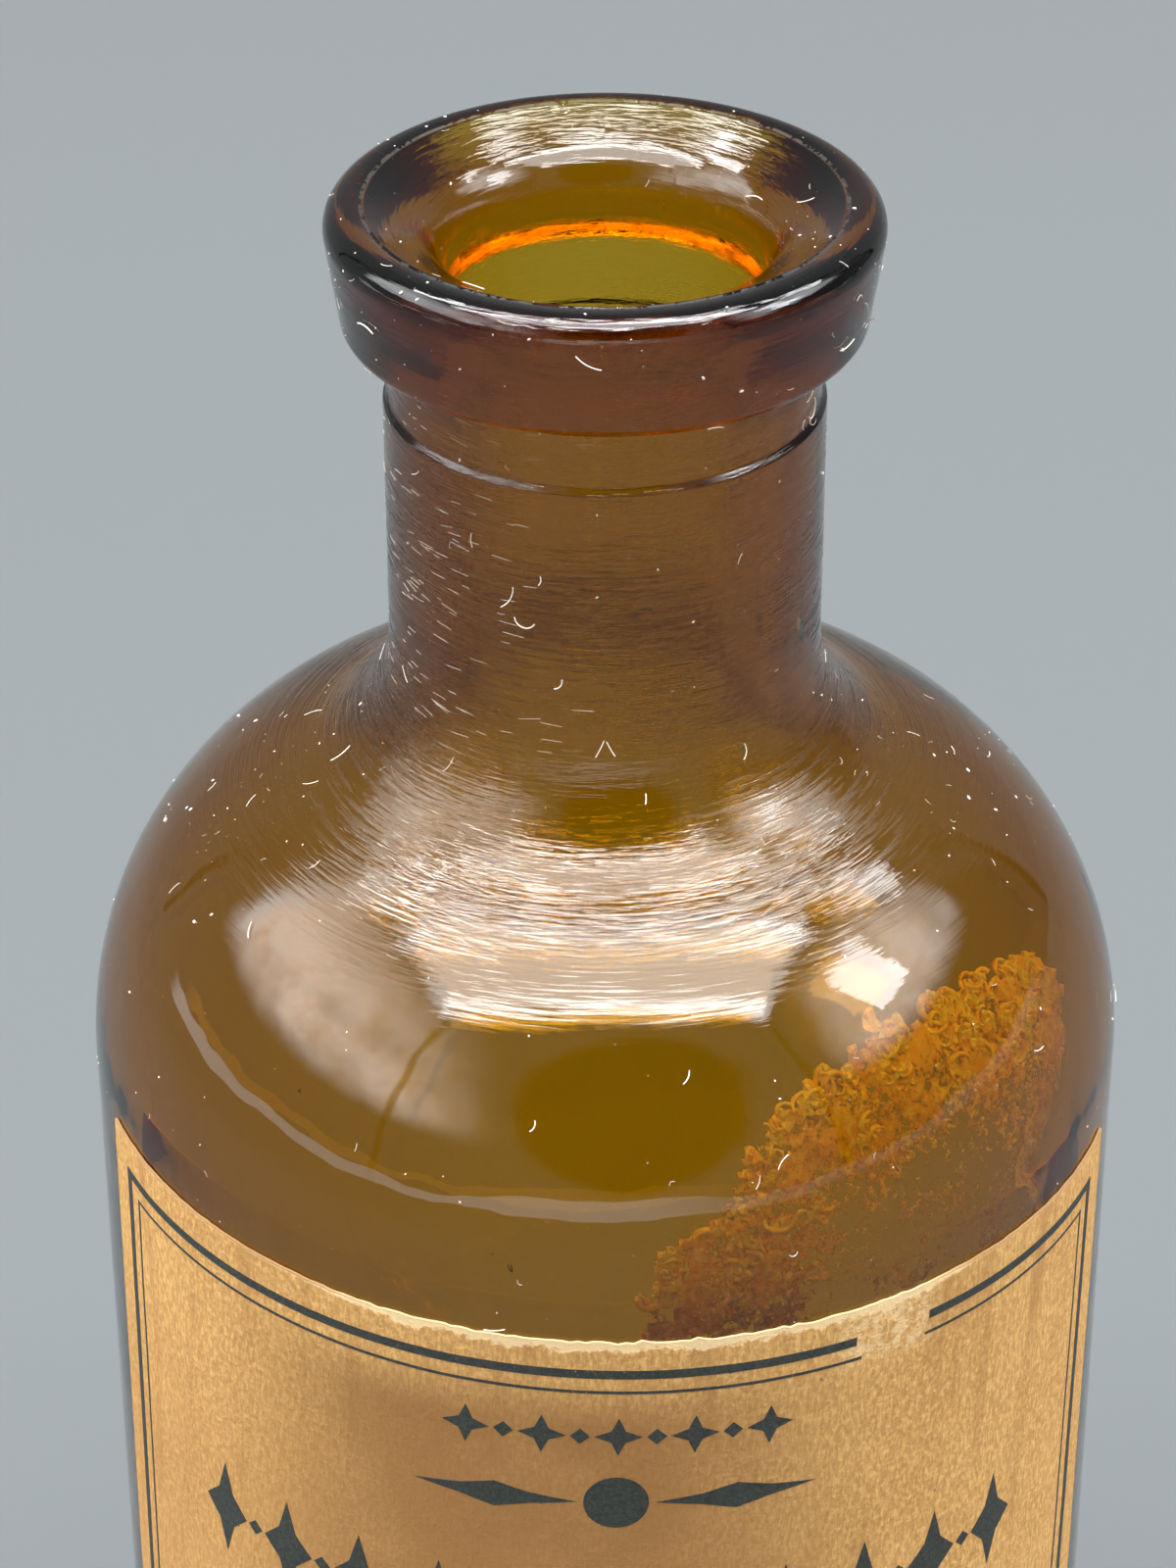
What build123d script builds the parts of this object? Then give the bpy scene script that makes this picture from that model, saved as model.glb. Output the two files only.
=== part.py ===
from build123d import *
from math import cos, degrees, pi, radians, sin, sqrt, tan
import os

# A round amber glass dispensing bottle with a pasted paper label.
# Millimetres, +Z up, the origin at the middle of the base. The label faces -Y.

os.makedirs("parts", exist_ok=True)

# Body and shoulder
body_radius = 25.0
side_height = 71.4
shoulder_round = 17.0
wall = 2.3

# Base, which is recessed in the middle so that the bottle stands on a ring
heel_round = 3.0
foot_width = 3.2
recess_height = 1.6
recess_slope = 2.0
base_thickness = 3.0
inner_heel_slope = 3.0

# Neck, with the narrower collar that the lip tool leaves under the lip
neck_radius = 10.1
neck_length = 11.9
neck_foot_round = 7.0
bore_radius = 7.25
collar_step = 0.25
collar_step_height = 0.3
collar_height = 3.3

# Lip: a thick flared ring with a rounded rim and a sloped mouth
lip_height = 5.9
lip_overhang = 2.0
lip_flare = 0.85
lip_foot_round = 0.8
rim_round = 1.1
rim_width = 1.9
mouth_drop = 1.9
mouth_round = 2.5

# Paper label, pasted on a little askew
label_thickness = 0.15
label_width = 60.8
label_height = 55.0
label_below_shoulder = 0.6
label_skew = 1.6

# Print on the label: a double border, worn through in one place, and plain ornaments in rows
print_thickness = 0.08
border_inset = 1.65
border_rule = 0.48
inner_rule_gap = 0.7
inner_rule = 0.16
worn_from = 24.5
worn_to = 35.5
star_row_drop = 5.5
star_count = 5
star_spacing = 3.5
star_size = 2.2
star_waist = 0.42
dot_size = 0.9
swelled_rule_drop = 9.4
swelled_disc = 3.0
swelled_star_offset = 5.6
swelled_star_length = 7.6
swelled_star_height = 1.5
swelled_star_waist = 0.6
bold_row_drop = 17.0
bold_count = 11
bold_spacing = 4.1
bold_width = 2.9
bold_height = 5.6
bold_waist = 0.5

# Dried deposit on the inner wall, up to the level that the liquid once lay at
deposit_thickness = 0.25
deposit_foot = 46.0
deposit_rise = 60.0
deposit_turn = 44.0
deposit_reach = 17.8
deposit_lean = 9.5

# Radii that follow
cavity_radius = body_radius - wall
collar_radius = neck_radius - collar_step
shoulder_centre = body_radius - shoulder_round
neck_foot_centre = neck_radius + neck_foot_round
lip_foot_radius = collar_radius + lip_overhang
lip_radius = lip_foot_radius + lip_flare
foot_radius = body_radius - heel_round - foot_width
cavity_foot = recess_height + base_thickness


def shoulder_joint(lower_round, upper_round):
    """The point where the shoulder's arc runs into the neck's, and the height where the neck begins."""
    reach = lower_round + upper_round
    across = neck_foot_centre - shoulder_centre
    rise = sqrt(reach**2 - across**2)
    share = lower_round / reach
    return (shoulder_centre + share * across, side_height + share * rise), side_height + rise


# Heights that follow
outer_joint, neck_foot = shoulder_joint(shoulder_round, neck_foot_round)
inner_joint, bore_foot = shoulder_joint(shoulder_round - wall, neck_foot_centre - bore_radius)
collar_foot = neck_foot + neck_length
collar_top = collar_foot + collar_step_height
lip_foot = collar_top + collar_height
rim = lip_foot + lip_height
mouth = rim - mouth_drop

# The glass is one hollow piece, blown in a mould and finished at the lip with a tool
with BuildPart() as bottle:
    with BuildSketch(Plane.XZ) as section:
        with BuildLine():
            side = Polyline(
                (0, recess_height),
                (foot_radius - recess_slope, recess_height),
                (foot_radius, 0),
                (body_radius, 0),
                (body_radius, side_height),
            )
            shoulder = TangentArc(side @ 1, outer_joint, tangent=(0, 1))
            neck_curve = TangentArc(shoulder @ 1, (neck_radius, neck_foot), tangent=shoulder % 1)
            finish = Polyline(
                neck_curve @ 1,
                (neck_radius, collar_foot),
                (collar_radius, collar_top),
                (collar_radius, lip_foot),
                (lip_foot_radius, lip_foot),
                (lip_radius, rim),
                (lip_radius - rim_width, rim),
                (bore_radius, mouth),
                (bore_radius, bore_foot),
            )
            bore_curve = TangentArc(finish @ 1, inner_joint, tangent=(0, -1))
            cavity_top = (cavity_radius, side_height)
            cavity_shoulder = TangentArc(bore_curve @ 1, cavity_top, tangent=bore_curve % 1)
            Polyline(
                cavity_shoulder @ 1,
                (cavity_radius, cavity_foot + inner_heel_slope),
                (cavity_radius - inner_heel_slope, cavity_foot),
                (0, cavity_foot),
                side @ 0,
            )
        make_face()
        corners = [
            ((body_radius, 0), heel_round),
            ((lip_foot_radius, lip_foot), lip_foot_round),
            ((lip_radius, rim), rim_round),
            ((bore_radius, mouth), mouth_round),
        ]
        for corner, radius in corners:
            fillet(section.vertices().sort_by_distance(corner)[0], radius=radius)
    revolve(axis=Axis.Z)

bottle.part.label = "bottle"
export_step(bottle.part, "parts/bottle.step")

# A place on the label is a turn around the bottle from the front, in degrees, and a height
label_middle = side_height - label_below_shoulder - label_height / 2
label_turn = degrees(label_width / 2 / body_radius)
print_radius = body_radius + label_thickness
skew_room = label_width * sin(radians(label_skew)) + 1


def radial_plane(turn):
    """The upright plane through the bottle's axis that lies a turn from the front."""
    angle = radians(turn - 90)
    return Plane((0, 0, 0), x_dir=(cos(angle), sin(angle), 0), z_dir=(sin(angle), -cos(angle), 0))


def wrapped_sheet(inner_radius, thickness, turn, half_height):
    """A sheet wrapped on the front of the bottle, as far to each side as turn, and askew as the label is."""
    with BuildPart() as sheet:
        with BuildSketch(radial_plane(-turn)):
            with Locations((inner_radius + thickness / 2, label_middle)):
                Rectangle(thickness, 2 * half_height + skew_room)
        revolve(axis=Axis.Z, revolution_arc=2 * turn)
        with Locations(Location((0, 0, label_middle), (0, label_skew, 0))):
            Box(4 * body_radius, 4 * body_radius, 2 * half_height, mode=Mode.INTERSECT)
    return sheet.part


def rule_frame(inset, rule_width):
    """One rule of the border, at an inset from the label's edge."""
    turn = label_turn - degrees(inset / body_radius)
    inner_turn = turn - degrees(rule_width / body_radius)
    half_height = label_height / 2 - inset
    with BuildPart() as frame:
        add(wrapped_sheet(print_radius, print_thickness, turn, half_height))
        add(wrapped_sheet(body_radius, 2 * wall, inner_turn, half_height - rule_width), mode=Mode.SUBTRACT)
    return frame.part


with BuildPart() as label:
    add(wrapped_sheet(body_radius, label_thickness, label_turn, label_height / 2))

label.part.label = "label"
export_step(label.part, "parts/label.step")

# Each ornament is drawn on the plane that touches the glass at its place, and cut out of a thin sheet
label_top = label_height / 2
inner_rule_inset = border_inset + border_rule + inner_rule_gap


def touching_plane(across, drop):
    """The plane that touches the glass at a place on the label, given by the distance across and the drop."""
    turn = across / body_radius
    outward = (sin(turn), -cos(turn), 0)
    sideways = body_radius * sin(turn)
    height = label_middle + label_top - drop - sideways * tan(radians(label_skew))
    point = (sideways, -body_radius * cos(turn), height)
    touch = Plane(point, x_dir=(cos(turn), sin(turn), 0), z_dir=outward)
    return touch.rotated((0, 0, -label_skew))


def pointed_star(width, height, waist):
    """A star of four points. The waist is the share of its radius that is left between the points."""
    corners = []
    for eighth in range(8):
        reach = waist if eighth % 2 else 1
        angle = eighth * pi / 4
        corners.append((width / 2 * reach * cos(angle), height / 2 * reach * sin(angle)))
    with BuildSketch(mode=Mode.PRIVATE) as star:
        with BuildLine():
            Polyline(*corners, close=True)
        make_face()
    return star.sketch


dot = pointed_star(dot_size, dot_size, 1 / sqrt(2))
with BuildSketch() as disc:
    Circle(swelled_disc / 2)

# Each ornament as its place across the label, its drop from the label's top, and its shape
places = [(0, swelled_rule_drop, disc.sketch)]
for side_sign in (-1, 1):
    long_star = pointed_star(swelled_star_length, swelled_star_height, swelled_star_waist)
    places.append((side_sign * swelled_star_offset, swelled_rule_drop, long_star))
rows = [
    (star_row_drop, star_count, star_spacing, pointed_star(star_size, star_size, star_waist)),
    (bold_row_drop, bold_count, bold_spacing, pointed_star(bold_width, bold_height, bold_waist)),
]
for drop, count, spacing, star in rows:
    for place in range(count):
        across = (place - (count - 1) / 2) * spacing
        places.append((across, drop, star))
        if place:
            places.append((across - spacing / 2, drop, dot))

with BuildPart() as ornaments:
    for across, drop, shape in places:
        with BuildSketch(touching_plane(across, drop)):
            add(shape)
        extrude(amount=wall, both=True)
    printed_sheet = wrapped_sheet(print_radius, print_thickness, label_turn, label_top - inner_rule_inset)
    add(printed_sheet, mode=Mode.INTERSECT)

with BuildPart() as label_print:
    add(rule_frame(border_inset, border_rule))
    add(rule_frame(inner_rule_inset, inner_rule))
    with BuildSketch(radial_plane(worn_from)):
        with Locations((body_radius, label_middle + label_top)):
            Rectangle(2 * wall, 4 * inner_rule_inset)
    revolve(axis=Axis.Z, revolution_arc=worn_to - worn_from, mode=Mode.SUBTRACT)
    add(ornaments.part)

label_print.part.label = "label_print"
export_step(label_print.part, "parts/label_print.step")

# The bottle once lay on its side, and the deposit is what dried on the wall below the liquid's flat surface
surface_angle = radians(deposit_turn - 90)
lean = radians(deposit_lean)
surface = Plane(
    (deposit_reach * cos(surface_angle), deposit_reach * sin(surface_angle), side_height),
    z_dir=(cos(surface_angle) * cos(lean), sin(surface_angle) * cos(lean), -sin(lean)),
)

with BuildPart() as deposit:
    with BuildSketch(Plane.XZ):
        with BuildLine():
            round_centre = (shoulder_centre, side_height)
            back_radius = cavity_radius - shoulder_centre
            back = Line((cavity_radius, deposit_foot), (cavity_radius, side_height))
            back_round = CenterArc(round_centre, back_radius, 0, deposit_rise)
            face = Line(back @ 0 - (deposit_thickness, 0), back @ 1 - (deposit_thickness, 0))
            face_round = CenterArc(round_centre, back_radius - deposit_thickness, 0, deposit_rise)
            Line(back @ 0, face @ 0)
            Line(back_round @ 1, face_round @ 1)
        make_face()
    revolve(axis=Axis.Z)
    with BuildSketch(surface):
        Rectangle(2 * rim, 2 * rim)
    extrude(amount=2 * body_radius, mode=Mode.INTERSECT)

deposit.part.label = "deposit"
export_step(deposit.part, "parts/deposit.step")
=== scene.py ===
# %% [markdown]
# # A chemist's amber bottle
#
# The object is an old dispensing bottle of amber glass, with a thick flared lip, an aged paper label and a crust of
# dried tincture on its inner wall. The glass is clear and coloured all through, so its colour can't be painted on:
# it has to come from how far the light travels in the glass. That is why the bottle here is a real hollow shell,
# with its true wall everywhere.

# %% The frame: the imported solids, in metres, with +Z up
import random
from math import atan2, ceil, cos, degrees, hypot, pi, radians, sin, sqrt, tan

import bpy
from mathutils import Matrix, Vector, noise


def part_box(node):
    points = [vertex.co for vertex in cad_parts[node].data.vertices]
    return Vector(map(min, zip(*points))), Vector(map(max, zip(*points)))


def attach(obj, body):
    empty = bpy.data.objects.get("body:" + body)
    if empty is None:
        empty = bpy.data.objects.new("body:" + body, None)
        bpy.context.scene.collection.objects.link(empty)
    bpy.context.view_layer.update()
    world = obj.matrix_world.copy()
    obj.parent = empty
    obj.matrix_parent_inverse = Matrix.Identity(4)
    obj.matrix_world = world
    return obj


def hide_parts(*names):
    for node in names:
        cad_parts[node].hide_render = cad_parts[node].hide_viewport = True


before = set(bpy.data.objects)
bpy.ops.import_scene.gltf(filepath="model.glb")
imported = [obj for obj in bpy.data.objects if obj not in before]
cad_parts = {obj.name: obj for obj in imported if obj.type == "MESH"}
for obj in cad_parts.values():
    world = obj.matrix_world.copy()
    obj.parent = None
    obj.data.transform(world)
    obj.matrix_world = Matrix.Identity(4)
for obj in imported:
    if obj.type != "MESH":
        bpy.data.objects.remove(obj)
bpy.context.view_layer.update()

MM = 0.001
BODY_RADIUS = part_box("bottle")[1].x / MM
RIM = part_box("bottle")[1].z / MM
print("The bottle is", round(2 * BODY_RADIUS, 1), "mm across and", round(RIM, 1), "mm tall")

# %% [markdown]
# ## The camera
#
# A close view of the mouth and shoulder, from a little above. The lower part of the bottle runs out of the picture,
# as it does in the reference. A long lens keeps the ellipses of the lip and the label calm.

# %% Camera
PICTURE_WIDTH = 1200
PICTURE_HEIGHT = 1600
FOCAL_LENGTH_PIXELS = 4642
AXIS_COLUMN = 617.3
LOOK_DOWN = radians(32.2)
CAMERA_DISTANCE = 217.4
AIM_HEIGHT = 84.45
FILM = 36.0

bpy.ops.object.camera_add()
camera = bpy.context.object
camera.name = "camera"
camera.data.sensor_fit = "AUTO"
camera.data.sensor_width = FILM
camera.data.lens = FILM * FOCAL_LENGTH_PIXELS / PICTURE_HEIGHT
camera.data.shift_x = (PICTURE_WIDTH / 2 - AXIS_COLUMN) / PICTURE_HEIGHT
camera.data.clip_start = 0.01
towards_camera = Vector((0, -cos(LOOK_DOWN), sin(LOOK_DOWN)))
camera.location = Vector((0, 0, AIM_HEIGHT * MM)) + towards_camera * CAMERA_DISTANCE * MM
camera.rotation_euler = (pi / 2 - LOOK_DOWN, 0, 0)
bpy.context.scene.camera = camera
print("The lens is", round(camera.data.lens, 1), "mm long")

# %% [markdown]
# ## Floor and light
#
# Clear glass looks like what stands round it, so the surroundings matter as much as the bottle. A pale floor runs
# out into a backdrop of one even tone: near the bottle it is a real surface that takes the shadow, and farther out
# it turns into that tone by itself, so that no lamp leaves a pool of light on it and no horizon shows.

# %% The backdrop's tone, and a floor that fades into it
BACKDROP = (0.37, 0.395, 0.40, 1)
FLOOR_COLOUR = (0.094, 0.101, 0.103, 1)
FLOOR_SIZE = 6.0
FADE_FROM = 0.20
FADE_TO = 0.75

bpy.ops.object.select_all(action="DESELECT")
bpy.ops.mesh.primitive_plane_add(size=FLOOR_SIZE)
floor = bpy.context.object
floor.name = "floor"
floor_finish = bpy.data.materials.new("floor")
floor_finish.use_nodes = True
floor_nodes = floor_finish.node_tree.nodes
floor_links = floor_finish.node_tree.links
floor_shader = floor_nodes["Principled BSDF"]
floor_shader.inputs["Base Color"].default_value = FLOOR_COLOUR
floor_shader.inputs["Roughness"].default_value = 0.8
floor_place = floor_nodes.new("ShaderNodeTexCoord")
from_middle = floor_nodes.new("ShaderNodeVectorMath")
from_middle.operation = "LENGTH"
floor_links.new(floor_place.outputs["Object"], from_middle.inputs[0])
fade = floor_nodes.new("ShaderNodeMapRange")
fade.interpolation_type = "SMOOTHSTEP"
fade.inputs["From Min"].default_value = FADE_FROM
fade.inputs["From Max"].default_value = FADE_TO
floor_links.new(from_middle.outputs["Value"], fade.inputs["Value"])
far_floor = floor_nodes.new("ShaderNodeEmission")
far_floor.inputs["Color"].default_value = BACKDROP
floor_mix = floor_nodes.new("ShaderNodeMixShader")
floor_links.new(fade.outputs["Result"], floor_mix.inputs[0])
floor_links.new(floor_shader.outputs[0], floor_mix.inputs[1])
floor_links.new(far_floor.outputs[0], floor_mix.inputs[2])
floor_links.new(floor_mix.outputs[0], floor_nodes["Material Output"].inputs["Surface"])
floor.data.materials.append(floor_finish)
print("The floor is", FLOOR_SIZE, "m wide and fades out by", FADE_TO, "m")

# %% [markdown]
# The light is that of a small white tent. A wide panel overhead and two brighter strips at its front and back edge
# give the broad streaked band on the shoulder. The tent's pale sides light the label's flanks more than its middle
# and lay a haze on the sides of the shoulder, and its opening, where the camera looks in, shows as a dark oval.

# %% Lamps and world
BOTTLE_MIDDLE = Vector((0, 0, 0.085))
DAYLIGHT = (0.95, 0.98, 1.0)


def soft_lamp(name, turn, elevation, distance, width, height, brightness):
    """A rectangular lamp that faces the bottle, at a turn from the front and an elevation in degrees.

    Its brightness is what a mirror would show of it.
    """
    turn = radians(turn - 90)
    elevation = radians(elevation)
    away = Vector((cos(elevation) * cos(turn), cos(elevation) * sin(turn), sin(elevation)))
    bpy.ops.object.light_add(type="AREA", location=BOTTLE_MIDDLE + away * distance)
    lamp = bpy.context.object
    lamp.name = name
    lamp.data.shape = "RECTANGLE"
    lamp.data.size = width
    lamp.data.size_y = height
    lamp.data.energy = brightness * pi * width * height
    lamp.data.color = DAYLIGHT
    lamp.rotation_euler = (-away).to_track_quat("-Z", "Y").to_euler()
    return lamp


soft_lamp("lamp_overhead", 0, 80, 1.40, 1.75, 0.90, 7.0)
soft_lamp("strip_front", 0, 66, 1.20, 1.35, 0.09, 17.0)
soft_lamp("strip_back", 180, 87, 1.25, 1.60, 0.15, 17.0)
soft_lamp("strip_rear", 180, 72, 1.25, 1.45, 0.12, 15.0)
soft_lamp("corner_left", -126, 56, 1.20, 0.18, 0.24, 16.0)
soft_lamp("corner_right", 119, 48, 1.20, 0.17, 0.26, 13.0)
soft_lamp("side_right", 84, 41, 1.20, 0.26, 0.34, 12.0)

# %% The tent's walls, as a world that depends on the direction
TENT_BASE = 0.36
TENT_SIDES = 5.6
TENT_RIM = 1.9
OPENING_TURN = radians(7 - 90)
OPENING_ELEVATION = radians(32)

world = bpy.data.worlds.new("studio")
bpy.context.scene.world = world
world.use_nodes = True
world_nodes = world.node_tree.nodes
world_links = world.node_tree.links


def world_node(kind, *inputs, **settings):
    """Adds a node to the world. Each input is a value, or the socket that feeds it."""
    made = world_nodes.new(kind)
    for name, value in settings.items():
        setattr(made, name, value)
    for place, value in enumerate(inputs):
        if isinstance(value, bpy.types.NodeSocket):
            world_links.new(value, made.inputs[place])
        else:
            made.inputs[place].default_value = value
    return made


direction = world_node("ShaderNodeTexCoord").outputs["Generated"]
along_x, along_y, along_z = world_node("ShaderNodeSeparateXYZ", direction).outputs
left = world_node("ShaderNodeMapRange", along_x, -0.35, -0.80, interpolation_type="SMOOTHSTEP").outputs[0]
left_foot = world_node("ShaderNodeMapRange", along_z, 0.28, 0.42, interpolation_type="SMOOTHSTEP").outputs[0]
left = world_node("ShaderNodeMath", left, left_foot, operation="MULTIPLY").outputs[0]
slant = world_node("ShaderNodeMath", along_z, 0.6, along_x, operation="MULTIPLY_ADD").outputs[0]
right = world_node("ShaderNodeMapRange", slant, 1.02, 1.15, interpolation_type="SMOOTHSTEP").outputs[0]
right_foot = world_node("ShaderNodeMapRange", along_z, 0.38, 0.50, interpolation_type="SMOOTHSTEP").outputs[0]
aside = world_node("ShaderNodeMath", right, right_foot, left, operation="MULTIPLY_ADD").outputs[0]
ahead = world_node("ShaderNodeMapRange", along_y, 0.42, 0.32, interpolation_type="SMOOTHSTEP").outputs[0]
aside = world_node("ShaderNodeMath", aside, ahead, operation="MULTIPLY").outputs[0]
below = world_node("ShaderNodeMapRange", along_z, 0.84, 0.78, interpolation_type="SMOOTHSTEP").outputs[0]
folds = world_node("ShaderNodeTexNoise", direction, 0.0, 4.5, 4.0, 0.6).outputs[0]
folds = world_node("ShaderNodeMapRange", folds, 0.35, 0.62, 0.55, 1.15).outputs[0]
corner = world_node("ShaderNodeMapRange", along_x, 0.74, 0.77, TENT_BASE, TENT_BASE * 0.5).outputs[0]
rim_height = world_node("ShaderNodeMapRange", along_y, -0.85, -0.97, 0.030, 0.10).outputs[0]
rim_line = world_node("ShaderNodeMath", along_z, rim_height, operation="LESS_THAN").outputs[0]
rim_fade = world_node("ShaderNodeMapRange", along_x, 0.15, 0.60, 1.0, 0.3).outputs[0]
rim_line = world_node("ShaderNodeMath", rim_line, ahead, operation="MULTIPLY").outputs[0]
rim_line = world_node("ShaderNodeMath", rim_line, rim_fade, operation="MULTIPLY").outputs[0]
opening = (
    cos(OPENING_ELEVATION) * cos(OPENING_TURN),
    cos(OPENING_ELEVATION) * sin(OPENING_TURN),
    sin(OPENING_ELEVATION),
)
towards = world_node("ShaderNodeVectorMath", direction, opening, operation="DOT_PRODUCT").outputs["Value"]
walls = world_node("ShaderNodeMapRange", towards, 0.93, 0.89, interpolation_type="SMOOTHSTEP").outputs[0]
lit = world_node("ShaderNodeMath", aside, below, operation="MULTIPLY").outputs[0]
lit = world_node("ShaderNodeMath", lit, folds, operation="MULTIPLY").outputs[0]
tent = world_node("ShaderNodeMath", lit, TENT_SIDES, corner, operation="MULTIPLY_ADD").outputs[0]
tent = world_node("ShaderNodeMath", tent, walls, operation="MULTIPLY").outputs[0]
for seam_turn in (-50, 52):
    across_seam = (cos(radians(seam_turn)), sin(radians(seam_turn)), 0)
    off_seam = world_node("ShaderNodeVectorMath", direction, across_seam, operation="DOT_PRODUCT").outputs["Value"]
    off_seam = world_node("ShaderNodeMath", off_seam, operation="ABSOLUTE").outputs[0]
    seam = world_node("ShaderNodeMapRange", off_seam, 0.008, 0.022, 0.25, 1.0).outputs[0]
    tent = world_node("ShaderNodeMath", tent, seam, operation="MULTIPLY").outputs[0]
tent = world_node("ShaderNodeMath", rim_line, TENT_RIM, tent, operation="MULTIPLY_ADD").outputs[0]
world_links.new(tent, world_nodes["Background"].inputs["Strength"])
world_nodes["Background"].inputs["Color"].default_value = (*DAYLIGHT, 1)
backdrop = world_node("ShaderNodeBackground", BACKDROP)
seen = world_node("ShaderNodeLightPath").outputs["Is Camera Ray"]
world_mix = world_node("ShaderNodeMixShader", seen)
world_links.new(world_nodes["Background"].outputs[0], world_mix.inputs[1])
world_links.new(backdrop.outputs[0], world_mix.inputs[2])
world_links.new(world_mix.outputs[0], world_nodes["World Output"].inputs["Surface"])
bpy.context.scene.view_settings.view_transform = "Standard"
print("The tent's sides are", TENT_SIDES + TENT_BASE, "bright")

# %% [markdown]
# ## Drawing a section with extrude and spin
#
# The bottle was blown in a round mould, so half a section turned about the axis gives all of it. The section is
# drawn as one line: a single point is pulled out into straight runs, and spun about a centre where the glass is
# round. Every round is then a true arc, and that matters, because a flat spot on glass shows at once in its
# reflections.


# %% A pen that draws in the XZ plane
def deselect_all():
    """Nothing is selected, so that the next operator acts on its own piece alone."""
    if bpy.context.object is not None and bpy.context.object.mode != "OBJECT":
        bpy.ops.object.mode_set(mode="OBJECT")
    bpy.ops.object.select_all(action="DESELECT")


class Pen:
    """Draws one line in millimetres. Its last point stays selected, so the line goes on from there."""

    def __init__(self, name, x, z, spacing):
        deselect_all()
        bpy.ops.mesh.primitive_plane_add(size=1)
        self.piece = bpy.context.object
        self.piece.name = name
        bpy.ops.object.mode_set(mode="EDIT")
        bpy.ops.mesh.merge(type="CENTER")
        bpy.ops.transform.translate(value=(x * MM, 0, z * MM))
        self.x = x
        self.z = z
        self.spacing = spacing

    def run(self, x, z):
        """A straight run, in steps of about the pen's spacing."""
        count = max(1, round(hypot(x - self.x, z - self.z) / self.spacing))
        step = ((x - self.x) / count * MM, 0, (z - self.z) / count * MM)
        for _ in range(count):
            bpy.ops.mesh.extrude_region_move(TRANSFORM_OT_translate={"value": step})
        self.x = x
        self.z = z

    def turn(self, centre_x, centre_z, angle, most=radians(6)):
        """An arc about a centre. A positive angle turns from +X towards +Z."""
        across = self.x - centre_x
        up = self.z - centre_z
        length = hypot(across, up) * abs(angle)
        count = max(ceil(abs(angle) / most), round(length / self.spacing))
        bpy.ops.mesh.spin(steps=count, angle=angle, center=(centre_x * MM, 0, centre_z * MM), axis=(0, 1, 0))
        self.x = centre_x + across * cos(angle) - up * sin(angle)
        self.z = centre_z + across * sin(angle) + up * cos(angle)

    def follow(self, *corners):
        """Straight runs through corners (x, z, radius). A corner with a radius becomes an arc."""
        for place, (x, z, radius) in enumerate(corners):
            if radius == 0:
                self.run(x, z)
                continue
            corner = Vector((x, z))
            way_in = (corner - Vector((self.x, self.z))).normalized()
            way_out = (Vector(corners[place + 1][:2]) - corner).normalized()
            swing = -way_in.angle_signed(way_out)
            start = corner - way_in * radius * tan(abs(swing) / 2)
            self.run(start.x, start.y)
            side = radius if swing > 0 else -radius
            self.turn(start.x - way_in.y * side, start.y + way_in.x * side, swing)

    def lift(self):
        """Ends the line and gives its piece."""
        bpy.ops.object.mode_set(mode="OBJECT")
        return self.piece


print("The pen is ready")

# %% [markdown]
# ## The glass
#
# The sizes are the solid's own. The wall is thin in the body and thick in the neck, the base is recessed in the
# middle, and the lip is a heavy ring laid on the neck, with a sloped mouth and a fine crease round its rim.

# %% Sizes of the glass, in millimetres
WALL = 2.3
SIDE_HEIGHT = 71.4
SHOULDER_ROUND = 17.0
HEEL_ROUND = 3.0
FOOT_RADIUS = 18.8
RECESS_RADIUS = 16.8
RECESS_HEIGHT = 1.6
CAVITY_FOOT = 4.6
INNER_HEEL_ROUND = 3.5
NECK_RADIUS = 10.1
NECK_FOOT_ROUND = 7.0
BORE_RADIUS = 7.25
COLLAR_RADIUS = 9.85
COLLAR_FOOT = RIM - 9.5
COLLAR_TOP = RIM - 9.2
LIP_FOOT = RIM - 5.9
LIP_FOOT_RADIUS = 11.85
LIP_RADIUS = 12.7
CREASE_RADIUS = 10.8
MOUTH_DROP = 1.9
CREASE_WIDTH = 0.15
CREASE_DEPTH = 0.09

cavity_radius = BODY_RADIUS - WALL
shoulder_centre = BODY_RADIUS - SHOULDER_ROUND
neck_foot_centre = NECK_RADIUS + NECK_FOOT_ROUND


def shoulder_swing(lower_round, upper_round):
    """How far the shoulder turns before the neck's hollow round takes over."""
    across = neck_foot_centre - shoulder_centre
    return atan2(sqrt((lower_round + upper_round) ** 2 - across**2), across)


print("The shoulder turns", round(degrees(shoulder_swing(SHOULDER_ROUND, NECK_FOOT_ROUND)), 1), "degrees")

# %% The bottle's section, from the middle of the base round to the middle of the floor
GLASS_SPACING = 1.9
SPIN_STEPS = 256

pen = Pen("bottle_glass", 0, RECESS_HEIGHT, GLASS_SPACING)
pen.follow(
    (RECESS_RADIUS, RECESS_HEIGHT, 1.0),
    (FOOT_RADIUS, 0, 1.0),
    (BODY_RADIUS, 0, HEEL_ROUND),
    (BODY_RADIUS, SIDE_HEIGHT, 0),
)
swing = shoulder_swing(SHOULDER_ROUND, NECK_FOOT_ROUND)
pen.turn(shoulder_centre, SIDE_HEIGHT, swing, radians(3))
neck_foot = SIDE_HEIGHT + (SHOULDER_ROUND + NECK_FOOT_ROUND) * sin(swing)
pen.turn(neck_foot_centre, neck_foot, -swing, radians(4))
hollow_round = neck_foot_centre - BORE_RADIUS
hollow_swing = shoulder_swing(SHOULDER_ROUND - WALL, hollow_round)
bore_foot = SIDE_HEIGHT + (SHOULDER_ROUND - WALL + hollow_round) * sin(hollow_swing)
pen.spacing = 0.7
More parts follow.
